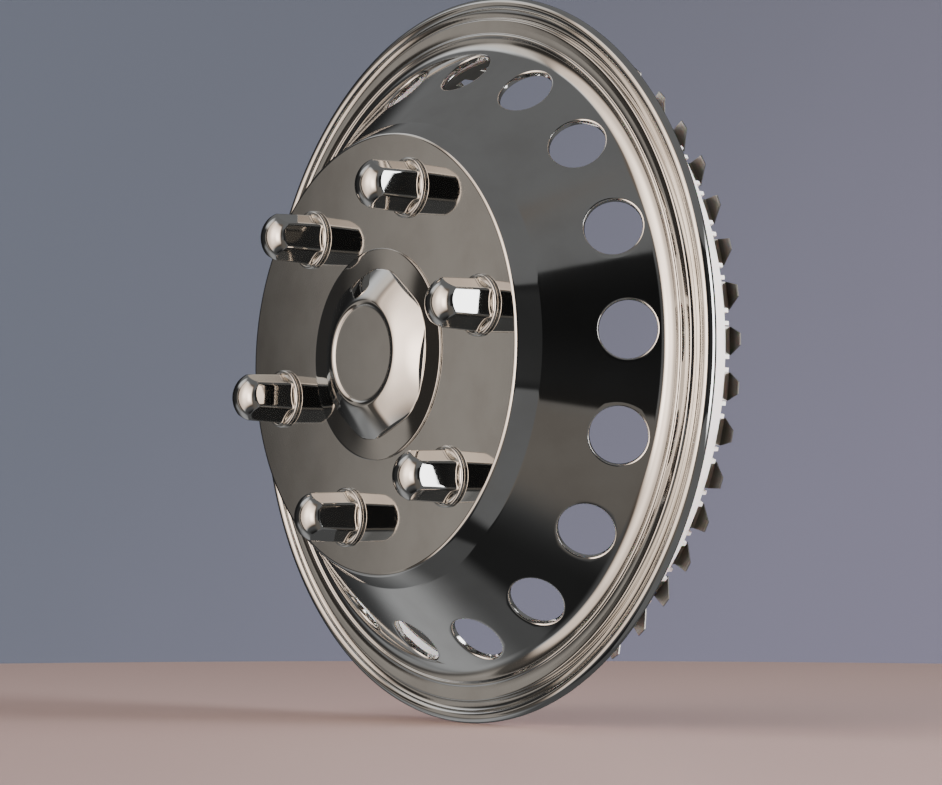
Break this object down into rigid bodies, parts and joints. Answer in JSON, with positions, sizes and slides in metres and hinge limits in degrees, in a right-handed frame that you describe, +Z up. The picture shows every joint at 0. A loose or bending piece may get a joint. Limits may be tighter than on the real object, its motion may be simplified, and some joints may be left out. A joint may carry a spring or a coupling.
{
  "type": "wheel simulator",
  "caption": "Round bright wheel cover for a truck wheel, dished, with hand holes, nut covers and a centre cap, held in the rim by a plastic ring with spring teeth.",
  "frame": {"origin": "on the wheel's axis, in the plane through the middle of the rolled outer edge", "axes": "-Y towards the front face, +Y towards the vehicle along the wheel's axis, +Z up, +X to the right seen from the front"},
  "size_m": [0.484, 0.1589, 0.484],
  "materials": {
    "bright_steel": "mirror-polished stainless steel sheet",
    "ivory_plastic": "moulded ivory plastic, satin",
    "spring_steel": "satin spring steel strip"
  },
  "bodies": {
    "root": {"cover_shell": "bright_steel", "centre_cap": "bright_steel", "centre_cap_clip": "spring_steel", "nut_cover_1": "bright_steel", "nut_cover_2": "bright_steel", "nut_cover_3": "bright_steel", "nut_cover_4": "bright_steel", "nut_cover_5": "bright_steel", "nut_cover_6": "bright_steel", "nut_clip_1": "spring_steel", "nut_clip_2": "spring_steel", "nut_clip_3": "spring_steel", "nut_clip_4": "spring_steel", "nut_clip_5": "spring_steel", "nut_clip_6": "spring_steel", "retaining_ring": "ivory_plastic", "tooth_ring": "spring_steel"}
  },
  "joints": []
}
